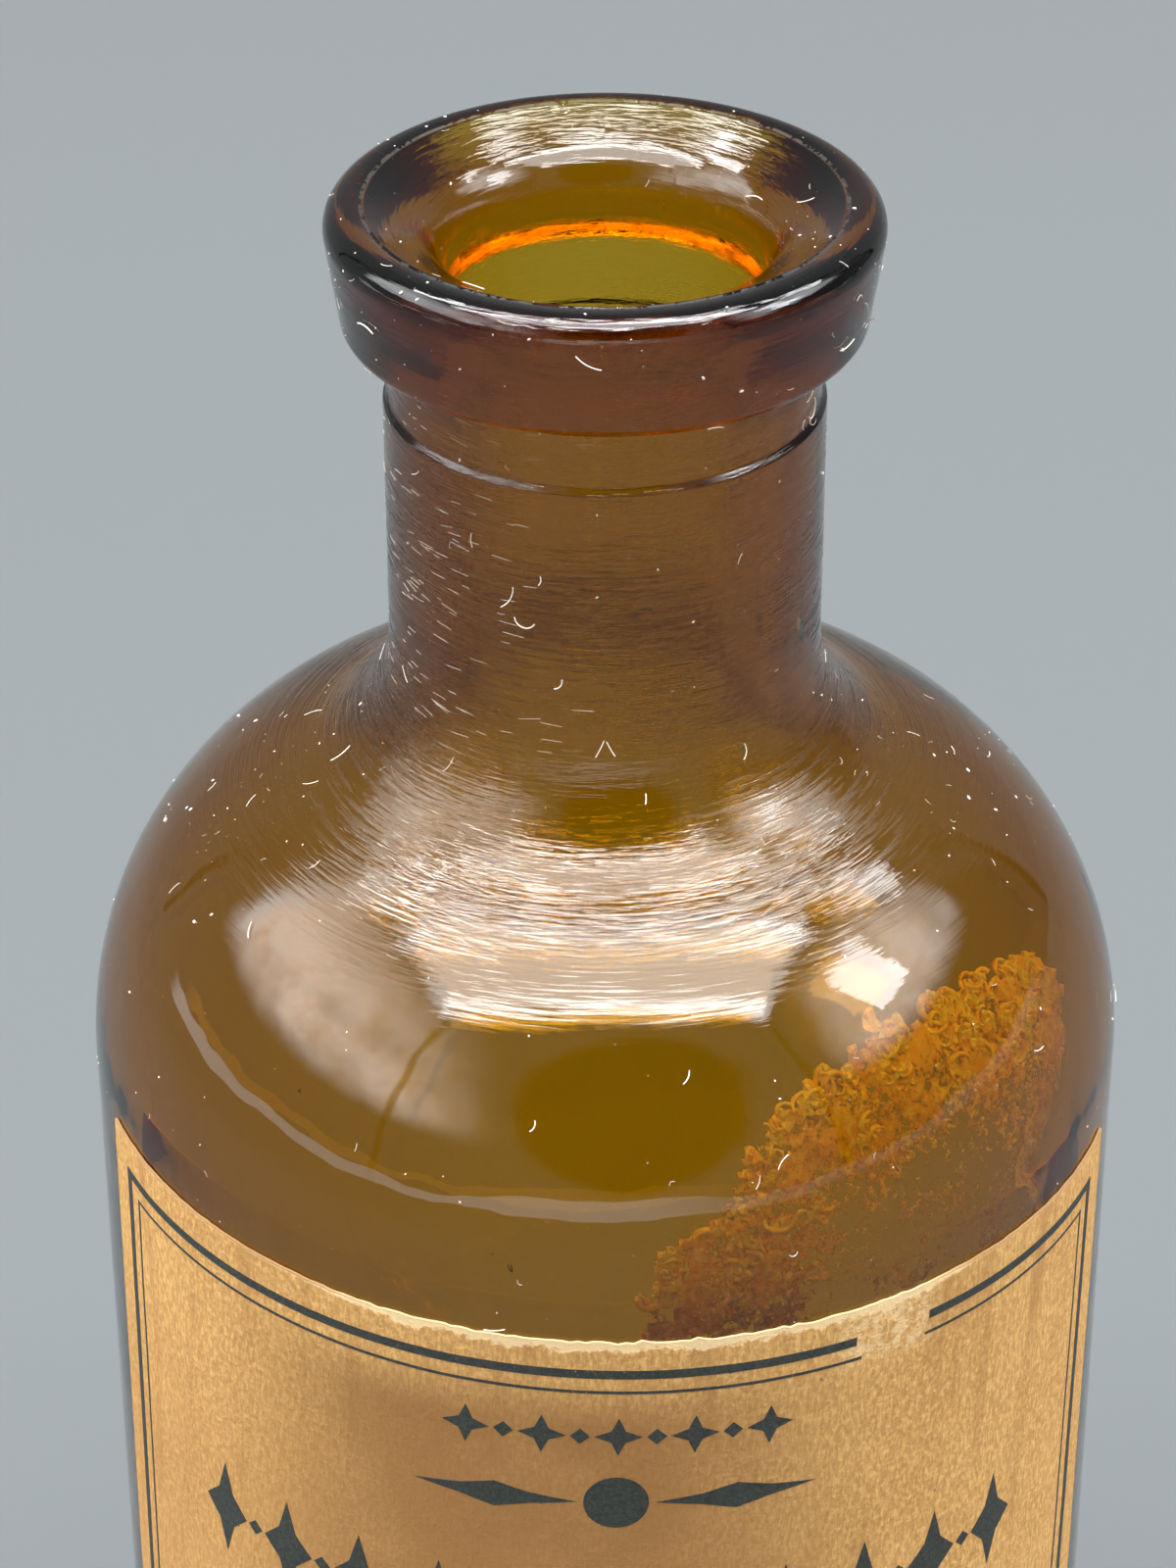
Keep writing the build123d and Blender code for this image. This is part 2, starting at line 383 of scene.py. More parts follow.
pen.follow(
    (NECK_RADIUS, COLLAR_FOOT, 0.25),
    (COLLAR_RADIUS, COLLAR_TOP, 0.25),
    (COLLAR_RADIUS, LIP_FOOT, 0.5),
    (LIP_FOOT_RADIUS, LIP_FOOT, 0.8),
    (LIP_RADIUS, RIM, 1.1),
    (CREASE_RADIUS + CREASE_WIDTH, RIM, 0),
    (CREASE_RADIUS, RIM - CREASE_DEPTH, 0.02),
    (CREASE_RADIUS - CREASE_WIDTH, RIM - 0.03, 0.12),
    (BORE_RADIUS, RIM - MOUTH_DROP, 2.5),
    (BORE_RADIUS, bore_foot, 0),
)
pen.spacing = GLASS_SPACING
pen.turn(neck_foot_centre, bore_foot, hollow_swing, radians(4))
pen.turn(shoulder_centre, SIDE_HEIGHT, -hollow_swing, radians(3))
pen.follow((cavity_radius, CAVITY_FOOT, INNER_HEEL_ROUND), (0, CAVITY_FOOT, 0))
glass = pen.lift()
print("The section has", len(glass.data.vertices), "points and ends at", round(pen.x, 2), round(pen.z, 2))

# %% Spin the section, and close the seam and the poles
deselect_all()
glass.select_set(True)
bpy.context.view_layer.objects.active = glass
bpy.ops.object.mode_set(mode="EDIT")
bpy.ops.mesh.select_all(action="SELECT")
bpy.ops.mesh.spin(steps=SPIN_STEPS, angle=2 * pi, center=(0, 0, 0), axis=(0, 0, 1))
bpy.ops.mesh.select_all(action="SELECT")
bpy.ops.mesh.remove_doubles(threshold=0.005 * MM)
bpy.ops.mesh.normals_make_consistent(inside=False)
bpy.ops.object.mode_set(mode="OBJECT")
bpy.ops.object.shade_smooth()
print("The glass has", len(glass.data.polygons), "faces")

# %% [markdown]
# ### Uneven glass
#
# Old moulded glass is never quite even. The mould makes the outside true, but the inside was only blown, and its
# slow waves are what bend the reflections. So the inner wall is moved in and out by a tenth of a millimetre, by a
# smooth noise, and the outside by a few hundredths, always inwards, so that the label still clears it. The bore was
# drawn out as the neck was finished, so it also has narrow waves that run along it.

# %% Waves in the wall
INNER_WAVE = 0.16
OUTER_WAVE = 0.035
INNER_WAVE_LENGTH = 13.0
OUTER_WAVE_LENGTH = 9.0
BORE_WAVE = 0.11
BORE_WAVE_LENGTH = 2.4

normals = [vertex.normal.copy() for vertex in glass.data.vertices]
for vertex, normal in zip(glass.data.vertices, normals):
    place = vertex.co / MM
    out = Vector((place.x, place.y, 0))
    inside = normal.dot(out) < 0 or (out.length < cavity_radius - 1 and 3.5 < place.z < 10)
    at_mouth = place.z > RIM - 3.5
    if inside and not at_mouth:
        stretch = Vector((place.x, place.y, place.z * 0.6))
        vertex.co += normal * noise.noise(stretch / INNER_WAVE_LENGTH) * INNER_WAVE * MM
        if place.z > neck_foot - 4:
            stretch = Vector((place.x, place.y, place.z * 0.12))
            vertex.co += normal * noise.noise(stretch / BORE_WAVE_LENGTH) * BORE_WAVE * MM
    elif not at_mouth:
        depth = 0.5 + 0.5 * noise.noise(place / OUTER_WAVE_LENGTH + Vector((7, 3, 1)))
        vertex.co -= normal * depth * OUTER_WAVE * MM
print("The inner wall waves by", INNER_WAVE, "mm")

# %% [markdown]
# ### Seeds
#
# Small bubbles, which glassmakers call seeds, are holes in the glass. Each is a little sphere inside the wall whose
# faces look inwards, so that light leaves the glass there and comes back in.

# %% Bubbles in the wall
SEEDS = [
    # turn from the front in degrees, height, depth radius, width, length, tilt in degrees
    (64.0, 95.6, 9.55, 0.66, 1.45, -14),
    (-55.0, 95.6, 9.3, 0.16, 0.50, 8),
    (-21.0, 101.4, 8.7, 0.10, 0.26, 20),
    (34.0, 88.2, 11.2, 0.12, 0.20, 40),
    (-38.0, 79.0, 22.0, 0.14, 0.20, 0),
    (-12.0, 74.5, 23.8, 0.12, 0.16, 30),
    (120.0, 60.0, 23.9, 0.30, 0.70, 12),
    (158.0, 83.0, 18.0, 0.22, 0.30, 60),
    (-140.0, 66.0, 23.8, 0.18, 0.44, -10),
    (-165.0, 35.0, 23.9, 0.34, 0.90, 6),
]
seeds = []
for turn, height, depth, width, length, tilt in SEEDS:
    deselect_all()
    bpy.ops.mesh.primitive_uv_sphere_add(segments=20, ring_count=12, radius=0.5 * MM)
    seed = bpy.context.object
    bpy.ops.object.shade_smooth()
    bpy.ops.object.mode_set(mode="EDIT")
    bpy.ops.mesh.flip_normals()
    bpy.ops.object.mode_set(mode="OBJECT")
    shape = Matrix.Diagonal((width, width * 0.7, length, 1))
    lean = Matrix.Rotation(radians(tilt), 4, "Y")
    out = Matrix.Translation((0, -depth * MM, height * MM))
    seed.data.transform(Matrix.Rotation(radians(turn), 4, "Z") @ out @ lean @ shape)
    seeds.append(seed)

deselect_all()
for seed in seeds:
    seed.select_set(True)
glass.select_set(True)
bpy.context.view_layer.objects.active = glass
bpy.ops.object.join()
print("The glass holds", len(SEEDS), "bubbles and has", len(glass.data.polygons), "faces")

# %% [markdown]
# ## Helpers for materials
#
# A material is a small graph of nodes. These helpers add a node, set its inputs and link it in one line, so that
# the recipe of each finish stays readable. Patterns read Object coordinates, which are the bottle's own metres.


# %% Node helpers
class Recipe:
    """Adds nodes to a node tree. An input is given a value, or the socket that feeds it."""

    def __init__(self, tree):
        self.tree = tree
        self.column = 0

    def node(self, kind, inputs=None, **settings):
        made = self.tree.nodes.new(kind)
        self.column += 1
        made.location = (180 * self.column, 0)
        for name, value in settings.items():
            setattr(made, name, value)
        for name, value in (inputs or {}).items():
            if isinstance(value, bpy.types.NodeSocket):
                self.tree.links.new(value, made.inputs[name])
            else:
                made.inputs[name].default_value = value
        return made

    def math(self, operation, first, second=0.0, third=0.0, clamp=False):
        values = {0: first, 1: second, 2: third}
        return self.node("ShaderNodeMath", values, operation=operation, use_clamp=clamp).outputs[0]

    def ramp(self, value, low, high, start=0.0, end=1.0):
        """Goes smoothly from start to end as the value goes from low to high."""
        inputs = {"Value": value, "From Min": low, "From Max": high, "To Min": start, "To Max": end}
        return self.node("ShaderNodeMapRange", inputs, interpolation_type="SMOOTHSTEP").outputs["Result"]

    def blend(self, share, first, second, how="MIX"):
        """Mixes two colours."""
        made = self.node("ShaderNodeMix", {}, data_type="RGBA", blend_type=how)
        for place, value in {0: share, 6: first, 7: second}.items():
            if isinstance(value, bpy.types.NodeSocket):
                self.tree.links.new(value, made.inputs[place])
            else:
                made.inputs[place].default_value = value
        return made.outputs[2]

    def noise(self, place, scale, detail=3.0, roughness=0.55, distortion=0.0):
        inputs = {
            "Vector": place,
            "Scale": scale,
            "Detail": detail,
            "Roughness": roughness,
            "Distortion": distortion,
        }
        return self.node("ShaderNodeTexNoise", inputs).outputs["Fac"]


def new_finish(name):
    """A material with a Principled shader: the material, its recipe and the shader."""
    material = bpy.data.materials.new(name)
    material.use_nodes = True
    return material, Recipe(material.node_tree), material.node_tree.nodes["Principled BSDF"]


def hand_over(piece, material, nodes=()):
    """The finished piece gets its material, moves with the bottle, and stands for the solids named."""
    piece.data.materials.clear()
    piece.data.materials.append(material)
    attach(piece, "root")
    if nodes:
        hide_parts(*nodes)
    print(piece.name, "has", len(piece.data.polygons), "faces")


print("The helpers are ready")

# %% [markdown]
# ### The glass's finish
#
# Two things make this glass. Its colour is a Volume Absorption: red light gets through best, green less and blue
# hardly at all, so a thin wall is golden, two walls are brown and the thick lip is nearly black. Its surface
# carries the fine rings that the finishing tool left round the neck and the mouth, which break every highlight
# into streaks. The rings are a noise that is stretched along the turn, read from the radius, height and angle.

# %% A group for tool rings: streaks that run round the bottle's axis
ring_group = bpy.data.node_groups.new("tool_rings", "ShaderNodeTree")
ring_group.interface.new_socket("Fineness", in_out="INPUT", socket_type="NodeSocketFloat")
ring_group.interface.new_socket("Length", in_out="INPUT", socket_type="NodeSocketFloat")
ring_group.interface.new_socket("Height", in_out="OUTPUT", socket_type="NodeSocketFloat")
rings = Recipe(ring_group)
group_in = rings.node("NodeGroupInput")
place = rings.node("ShaderNodeTexCoord").outputs["Object"]
axes = rings.node("ShaderNodeSeparateXYZ", {0: place}).outputs
radius = rings.math("SQRT", rings.math("ADD", rings.math("POWER", axes[0], 2), rings.math("POWER", axes[1], 2)))
turned = rings.math("ARCTAN2", axes[0], rings.math("MULTIPLY", axes[1], -1))
streaks = rings.node(
    "ShaderNodeCombineXYZ",
    {
        0: rings.math("MULTIPLY", radius, group_in.outputs["Fineness"]),
        1: rings.math("MULTIPLY", axes[2], group_in.outputs["Fineness"]),
        2: rings.math("DIVIDE", turned, group_in.outputs["Length"]),
    },
).outputs[0]
height = rings.noise(streaks, 1.0, 2.0, 0.6)
rings.node("NodeGroupOutput", {"Height": height})
print("tool_rings puts out", [s.name for s in ring_group.interface.items_tree if s.in_out == "OUTPUT"])

# %% Amber glass
GLASS_ABSORPTION = (0.8885, 0.756, 0.0, 1)
GLASS_DENSITY = 1300.0
GLASS_IOR = 1.52

amber, recipe, shader = new_finish("amber_glass")
place = recipe.node("ShaderNodeTexCoord").outputs["Object"]
axes = recipe.node("ShaderNodeSeparateXYZ", {0: place}).outputs
fine_rings = recipe.node("ShaderNodeGroup", node_tree=ring_group)
fine_rings.inputs["Fineness"].default_value = 5200
fine_rings.inputs["Length"].default_value = 0.22
broad_rings = recipe.node("ShaderNodeGroup", node_tree=ring_group)
broad_rings.inputs["Fineness"].default_value = 1300
broad_rings.inputs["Length"].default_value = 0.6
tooled = recipe.ramp(axes[2], 0.0815, 0.0885)
on_neck = recipe.math("MULTIPLY", tooled, recipe.ramp(axes[2], (RIM - 4) * MM, (RIM - 9) * MM))
brushed = recipe.math("MULTIPLY", on_neck, recipe.ramp(recipe.noise(place, 130.0, 2.0), 0.38, 0.60, 0.6, 1.0))
brushed = recipe.math("MULTIPLY", brushed, recipe.ramp(axes[0], -0.0025, -0.0055, 0.3, 1.0))
fineness = recipe.math("MULTIPLY_ADD", brushed, 1.9, 0.45)
worked = recipe.math("MULTIPLY_ADD", fine_rings.outputs[0], fineness, broad_rings.outputs[0])
slow = recipe.noise(place, 190.0, 2.0)
first_bump = recipe.node("ShaderNodeBump", {"Strength": 0.10, "Distance": 0.0006, "Height": slow})
second_bump = recipe.node(
    "ShaderNodeBump",
    {
        "Strength": 0.55,
        "Distance": 0.00006,
        "Height": recipe.math("MULTIPLY", worked, tooled),
        "Normal": first_bump.outputs[0],
    },
)
recipe.tree.links.new(second_bump.outputs[0], shader.inputs["Normal"])
shader.inputs["Base Color"].default_value = (1, 1, 1, 1)
shader.inputs["Transmission Weight"].default_value = 1.0
shader.inputs["IOR"].default_value = GLASS_IOR
from_axis = recipe.math("SQRT", recipe.math("ADD", recipe.math("POWER", axes[0], 2), recipe.math("POWER", axes[1], 2)))
off_crease = recipe.math("ABSOLUTE", recipe.math("SUBTRACT", from_axis, CREASE_RADIUS * MM))
crease = recipe.math("MULTIPLY", recipe.ramp(off_crease, 0.00016, 0.00005), recipe.ramp(axes[2], (RIM - 0.4) * MM, (RIM - 0.2) * MM))
crease = recipe.math("MULTIPLY", crease, recipe.ramp(recipe.noise(place, 1500.0, 3.0, 0.7), 0.40, 0.55))
haze = recipe.math("MULTIPLY", on_neck, recipe.ramp(fine_rings.outputs[0], 0.45, 0.62))
haze = recipe.math("MULTIPLY", haze, recipe.ramp(recipe.noise(place, 130.0, 2.0), 0.38, 0.60, 0.0, 0.34))
recipe.tree.links.new(recipe.math("MAXIMUM", haze, recipe.math("MULTIPLY", crease, 0.75)), shader.inputs["Roughness"])
tint = recipe.node("ShaderNodeVolumeAbsorption", {"Color": GLASS_ABSORPTION, "Density": GLASS_DENSITY})
recipe.tree.links.new(tint.outputs[0], recipe.tree.nodes["Material Output"].inputs["Volume"])
hand_over(glass, amber, ["bottle"])

# %% [markdown]
# ## The label
#
# A label is printed flat and then pasted round the bottle, so it is made that way here: a fine grid is the paper,
# laid out flat in front of the bottle, and a Bend modifier wraps it. The angle of the bend is the sheet's own width
# divided by the bottle's radius, which keeps every length on the paper true.

# %% Sizes of the label, in millimetres
LABEL_WIDTH = 60.8
LABEL_HEIGHT = 55.0
LABEL_MIDDLE = SIDE_HEIGHT - 0.6 - LABEL_HEIGHT / 2
LABEL_SKEW = radians(1.6)
PAPER_THICKNESS = 0.13
PAPER_LIFT = 0.02
WORN_FROM = 10.7
WORN_TO = 15.4


def flat_grid(name, width, height, cell, x=0.0, z=0.0):
    """A flat rectangle of small cells that faces the front, placed from the label's middle."""
    deselect_all()
    columns = max(2, round(width / cell))
    rows = max(2, round(height / cell))
    bpy.ops.mesh.primitive_grid_add(
        x_subdivisions=columns,
        y_subdivisions=rows,
        size=1,
        location=(x * MM, 0, z * MM),
        rotation=(pi / 2, 0, 0),
    )
    piece = bpy.context.object
    piece.name = name
    piece.scale = (width * MM, height * MM, 1)
    bpy.ops.object.transform_apply(location=True, rotation=True, scale=True)
    return piece


def cockle(x, z):
    """How far the pasted paper stands off the glass at a place on the sheet."""
    swell = noise.noise(Vector((x / 9, z / 14, 2.0))) + 0.5 * noise.noise(Vector((x / 3.1, z / 4.3, 5.0)))
    return 0.035 * max(0.0, swell)


def paste(piece, lift, thickness):
    """Lays a flat piece on the sheet, gives it thickness, turns it askew and wraps it round the bottle."""
    for vertex in piece.data.vertices:
        x = vertex.co.x / MM
        z = vertex.co.z / MM
        vertex.co.y = -(lift + cockle(x, z)) * MM
    deselect_all()
    piece.select_set(True)
    bpy.context.view_layer.objects.active = piece
    solidify = piece.modifiers.new("thickness", "SOLIDIFY")
    solidify.thickness = thickness * MM
    solidify.offset = 1
    bpy.ops.object.modifier_apply(modifier="thickness")
    piece.data.transform(Matrix.Rotation(LABEL_SKEW, 4, "Y"))
    spread = [vertex.co.x for vertex in piece.data.vertices]
    bend = piece.modifiers.new("wrap", "SIMPLE_DEFORM")
    bend.deform_method = "BEND"
    bend.deform_axis = "Z"
    bend.angle = (max(spread) - min(spread)) / (BODY_RADIUS * MM)
    bpy.ops.object.modifier_apply(modifier="wrap")
    piece.data.transform(Matrix.Translation((0, -BODY_RADIUS * MM, LABEL_MIDDLE * MM)))
    bpy.ops.object.shade_smooth_by_angle(angle=radians(40))


print("The label is", LABEL_WIDTH, "by", LABEL_HEIGHT, "mm")

# %% The paper, with a torn upper edge
PAPER_CELL = 0.36
TORN_FROM = -15.0
TORN_TO = 16.0

paper = flat_grid("label_paper", LABEL_WIDTH, LABEL_HEIGHT, PAPER_CELL)
for vertex in paper.data.vertices:
    x = vertex.co.x / MM
    z = vertex.co.z / MM
    to_side = LABEL_WIDTH / 2 - abs(x)
    to_end = LABEL_HEIGHT / 2 - abs(z)
    nibble = 0.07 * noise.noise(Vector((x, z, 1)) * 1.9)
    if z > 0 and TORN_FROM < x < TORN_TO:
        tear = sin(pi * (x - TORN_FROM) / (TORN_TO - TORN_FROM)) ** 0.5
        nibble -= tear * (0.10 + 0.16 * noise.noise(Vector((x * 1.3, 4, 0))) + 0.12 * noise.noise(Vector((x * 4, 8, 0))))
    if to_end < 0.01:
        vertex.co.z += (nibble if z > 0 else -nibble) * MM
    if to_side < 0.01:
        vertex.co.x += (nibble * 0.6 if x > 0 else -nibble * 0.6) * MM
paste(paper, PAPER_LIFT, PAPER_THICKNESS)
print("The paper has", len(paper.data.polygons), "faces")

# %% [markdown]
# ### Paper that has aged
#
# The paper is tan, mottled by its fibres, and lighter where its skin has been rubbed off along the torn edge. Damp
# has drawn brown stains down it, and foxing has left small dark specks in clusters. Its middle is painted darker,
# as painted shade. All of it is read from the sheet's own UV map, so the grain stays with the paper as it bends.

# %% Aged paper
aged, recipe, shader = new_finish("label_paper")
sheet_uv = recipe.node("ShaderNodeUVMap", uv_map=paper.data.uv_layers[0].name).outputs[0]
flat = recipe.node(
    "ShaderNodeMapping",
    {"Vector": sheet_uv, "Location": (-LABEL_WIDTH / 2, -LABEL_HEIGHT / 2, 0), "Scale": (LABEL_WIDTH, LABEL_HEIGHT, 1)},
).outputs[0]
across, up, _ = recipe.node("ShaderNodeSeparateXYZ", {0: flat}).outputs
grain = recipe.noise(flat, 3.4, 4.0, 0.65)
fibre_place = recipe.node("ShaderNodeMapping", {"Vector": flat, "Scale": (5.5, 1.5, 1)}).outputs[0]
fibres = recipe.noise(fibre_place, 1.0, 4.0, 0.6, 0.6)
cloud = recipe.noise(flat, 0.16, 3.0, 0.5)
streak_place = recipe.node("ShaderNodeMapping", {"Vector": flat, "Scale": (0.55, 0.06, 1)}).outputs[0]
streaks = recipe.noise(streak_place, 1.0, 3.0, 0.55)
paper_colour = recipe.blend(recipe.ramp(cloud, 0.35, 0.65), (0.54, 0.270, 0.080, 1), (0.65, 0.350, 0.112, 1))
paper_colour = recipe.blend(recipe.ramp(grain, 0.3, 0.72), paper_colour, (0.80, 0.480, 0.175, 1))
paper_colour = recipe.blend(recipe.ramp(fibres, 0.62, 0.40, 0.0, 0.5), paper_colour, (0.36, 0.17, 0.050, 1))
paper_colour = recipe.blend(recipe.ramp(streaks, 0.52, 0.75, 0.0, 0.55), paper_colour, (0.37, 0.17, 0.052, 1))
# The middle of the label, below its top, is darkened towards brown: painted shade, for the front that gets less light
# than the flanks.
off_middle = recipe.math("ABSOLUTE", recipe.math("ADD", across, 4.5))
middle = recipe.math("MULTIPLY", recipe.ramp(off_middle, 18.0, 5.0), recipe.ramp(up, 26.0, 22.0))
middle = recipe.math("MULTIPLY", middle, recipe.ramp(cloud, 0.25, 0.6, 0.6, 0.9))
paper_colour = recipe.blend(middle, paper_colour, (0.29, 0.136, 0.042, 1))
lower = recipe.math("MULTIPLY", recipe.ramp(up, 24.0, 8.0, 0.0, 0.35), recipe.ramp(across, 16.0, 8.0))
paper_colour = recipe.blend(lower, paper_colour, (0.42, 0.205, 0.065, 1))
fox_spread = recipe.ramp(recipe.noise(flat, 0.22, 1.0), 0.50, 0.64)
fox_spots = recipe.ramp(recipe.noise(flat, 2.1, 2.0, 0.7), 0.66, 0.74)
foxing = recipe.math("MULTIPLY", fox_spread, fox_spots)
paper_colour = recipe.blend(recipe.math("MULTIPLY", foxing, 0.75), paper_colour, (0.16, 0.075, 0.03, 1))
from_top = recipe.math("SUBTRACT", LABEL_HEIGHT / 2, up)
torn_reach = recipe.math("MULTIPLY_ADD", recipe.noise(flat, 0.9, 4.0, 0.7), 1.7, -0.35)
torn_middle = recipe.math("ABSOLUTE", recipe.math("SUBTRACT", across, 1.5))
torn_here = recipe.ramp(torn_middle, 17.5, 11.0)
rubbed = recipe.ramp(recipe.math("SUBTRACT", from_top, recipe.math("MULTIPLY", torn_reach, torn_here)), 0.16, -0.1)
gap_middle = recipe.math("ABSOLUTE", recipe.math("SUBTRACT", across, (WORN_FROM + WORN_TO) / 2 - 0.3))
gap_here = recipe.math("MULTIPLY", recipe.ramp(gap_middle, 3.4, 1.6), recipe.ramp(from_top, 4.0, 2.6))
gap_rubbed = recipe.math("MULTIPLY", gap_here, recipe.ramp(recipe.noise(flat, 1.3, 4.0, 0.75), 0.42, 0.6))
rubbed = recipe.math("MAXIMUM", recipe.math("MULTIPLY", rubbed, 0.85), recipe.math("MULTIPLY", gap_rubbed, 0.6))
paper_colour = recipe.blend(rubbed, paper_colour, (0.90, 0.66, 0.36, 1))
cut_edge = recipe.math("MULTIPLY", recipe.ramp(from_top, 0.07, 0.03), recipe.ramp(torn_here, 0.0, 1.0, 0.8, 0.35))
paper_colour = recipe.blend(cut_edge, paper_colour, (0.20, 0.095, 0.035, 1))
recipe.tree.links.new(paper_colour, shader.inputs["Base Color"])
shader.inputs["Roughness"].default_value = 0.82
shader.inputs["Specular IOR Level"].default_value = 0.25
relief = recipe.math("ADD", grain, recipe.math("MULTIPLY_ADD", fibres, 0.8, recipe.math("MULTIPLY", rubbed, -0.8)))
paper_bump = recipe.node("ShaderNodeBump", {"Strength": 0.5, "Distance": 0.00008, "Height": relief})
recipe.tree.links.new(paper_bump.outputs[0], shader.inputs["Normal"])
hand_over(paper, aged, ["label"])

# %% [markdown]
# ## The print
#
# The label had a border of a thick and a thin rule, with a stretch worn away near the upper right corner. Where the
# words were, rows of printer's ornaments stand instead, of about the same weight. Each is cut out flat, like a
# stencil, and wrapped with the same bend as the paper, a hundredth of a millimetre above it.

# %% Border rules
BORDER_INSET = 1.65
THICK_RULE = 0.48
THIN_RULE = 0.16
RULE_GAP = 0.7
INK_LIFT = PAPER_LIFT + PAPER_THICKNESS + 0.006
INK_THICKNESS = 0.012
INK_CELL = 0.5


def border(inset, rule):
    """Four strips at an inset from the paper's edge. The upper one has a gap where it is worn."""
    right = LABEL_WIDTH / 2 - inset
    top = LABEL_HEIGHT / 2 - inset
    strips = [
        (-right, WORN_FROM + inset / 4, top - rule, top),
        (WORN_TO - inset / 6, right, top - rule, top),
        (-right, right, -top, rule - top),
        (-right, rule - right, rule - top, top - rule),
        (right - rule, right, rule - top, top - rule),
    ]
    return [
        flat_grid("strip", x1 - x0, z1 - z0, INK_CELL, (x0 + x1) / 2, (z0 + z1) / 2) for x0, x1, z0, z1 in strips
    ]


inked = border(BORDER_INSET, THICK_RULE) + border(BORDER_INSET + THICK_RULE + RULE_GAP, THIN_RULE)
print("The border has", len(inked), "strips")

# %% Ornaments: discs and four-pointed stars, cut from circles
STAR_DROP = 5.5
SWELL_DROP = 9.4
BOLD_DROP = 17.0
DOT_SIZE = 0.9


def cut_shape(x, z, width, height, corners, waist=1.0, cuts=3):
    """A filled shape, cut fine enough to bend. With eight corners, every second one is drawn in to the waist."""
    deselect_all()
    bpy.ops.mesh.primitive_circle_add(
        vertices=corners,
        radius=0.5,
        fill_type="TRIFAN",
        location=(x * MM, 0, z * MM),
        rotation=(pi / 2, 0, 0),
    )
    piece = bpy.context.object
    piece.scale = (width * MM, height * MM, 1)
    for vertex in piece.data.vertices:
        eighth = round(4 * atan2(vertex.co.y, vertex.co.x) / pi)
        if corners == 8 and eighth % 2:
            vertex.co *= waist
    bpy.ops.object.mode_set(mode="EDIT")
    bpy.ops.mesh.select_all(action="SELECT")
    bpy.ops.mesh.subdivide(number_cuts=cuts)
    bpy.ops.object.mode_set(mode="OBJECT")
    bpy.ops.object.transform_apply(location=True, rotation=True, scale=True)
    return piece


def star_row(drop, count, spacing, width, height, waist):
    """A row of pointed stars with a dot between each two."""
    for place in range(count):
        x = (place - (count - 1) / 2) * spacing
        inked.append(cut_shape(x, top - drop, width, height, 8, waist))
        if place:
            inked.append(cut_shape(x - spacing / 2, top - drop, DOT_SIZE, DOT_SIZE, 4, cuts=1))


top = LABEL_HEIGHT / 2
star_row(STAR_DROP, 5, 3.5, 2.2, 2.2, 0.42)
star_row(BOLD_DROP, 11, 4.1, 2.9, 5.6, 0.5)
inked.append(cut_shape(0, top - SWELL_DROP, 3.0, 3.0, 32))
for side in (-1, 1):
    inked.append(cut_shape(side * 5.6, top - SWELL_DROP, 7.6, 1.5, 8, 0.6, cuts=10))

deselect_all()
for piece in inked:
    piece.select_set(True)
bpy.context.view_layer.objects.active = inked[0]
bpy.ops.object.join()
printing = bpy.context.object
printing.name = "label_printing"
paste(printing, INK_LIFT, INK_THICKNESS)
print("The print has", len(printing.data.polygons), "faces")

# %% [markdown]
# ### Printer's ink
#
# Old letterpress ink is a greenish black that never lay quite solid: the paper's grain shows through as pin holes,
# and it thins where the sheet was rubbed. An Alpha mask made of two noises lets the paper through there.

# %% Ink
ink, recipe, shader = new_finish("printing_ink")
place = recipe.node("ShaderNodeTexCoord").outputs["Object"]
speckle = recipe.noise(place, 5200.0, 2.0, 0.7)
patches = recipe.noise(place, 700.0, 3.0, 0.6)
wear = recipe.math("MULTIPLY_ADD", patches, 0.35, speckle)
shader.inputs["Roughness"].default_value = 0.6
tone = recipe.blend(recipe.ramp(speckle, 0.35, 0.7), (0.016, 0.021, 0.018, 1), (0.05, 0.052, 0.042, 1))
recipe.tree.links.new(tone, shader.inputs["Base Color"])
recipe.tree.links.new(recipe.ramp(wear, 0.93, 0.80, 0.15, 1.0), shader.inputs["Alpha"])
hand_over(printing, ink, ["label_print"])

# %% [markdown]
# ## The dried deposit
#
# The bottle once lay on its side with some tincture left in it. What dried out is a speckled film on the inner
# wall, with a crust of curled flakes along the line where the liquid's surface stood. The film starts as the inner
# wall's own section, spun over the part of the turn that it covers, and its faces beyond the flat plane that the
# liquid had are deleted.

# %% The film's sheet
DEPOSIT_FOOT = 46.0
DEPOSIT_RISE = radians(60)
FILM_TURN_FROM = 4.0
FILM_TURN_TO = 84.0
FILM_GAP = 0.2
LIQUID_TURN = radians(44 - 90)
LIQUID_LEAN = radians(9.5)
LIQUID_REACH = 17.8

film_radius = cavity_radius - FILM_GAP
pen = Pen("deposit_film", film_radius, DEPOSIT_FOOT, 0.34)
pen.run(film_radius, SIDE_HEIGHT)
pen.turn(shoulder_centre, SIDE_HEIGHT, DEPOSIT_RISE, radians(1.4))
film = pen.lift()
film.data.transform(Matrix.Rotation(radians(FILM_TURN_FROM - 90), 4, "Z"))
deselect_all()
film.select_set(True)
bpy.context.view_layer.objects.active = film
bpy.ops.object.mode_set(mode="EDIT")
bpy.ops.mesh.select_all(action="SELECT")
bpy.ops.mesh.spin(steps=110, angle=-radians(FILM_TURN_TO - FILM_TURN_FROM), center=(0, 0, 0), axis=(0, 0, 1))
bpy.ops.object.mode_set(mode="OBJECT")
print("The film reaches to", [round(max(v.co[i] for v in film.data.vertices) / MM, 1) for i in range(3)])

liquid_point = Vector((LIQUID_REACH * cos(LIQUID_TURN), LIQUID_REACH * sin(LIQUID_TURN), SIDE_HEIGHT))
liquid_normal = Vector(
    (cos(LIQUID_TURN) * cos(LIQUID_LEAN), sin(LIQUID_TURN) * cos(LIQUID_LEAN), -sin(LIQUID_LEAN))
)
print("The liquid's plane looks along", [round(c, 2) for c in liquid_normal])

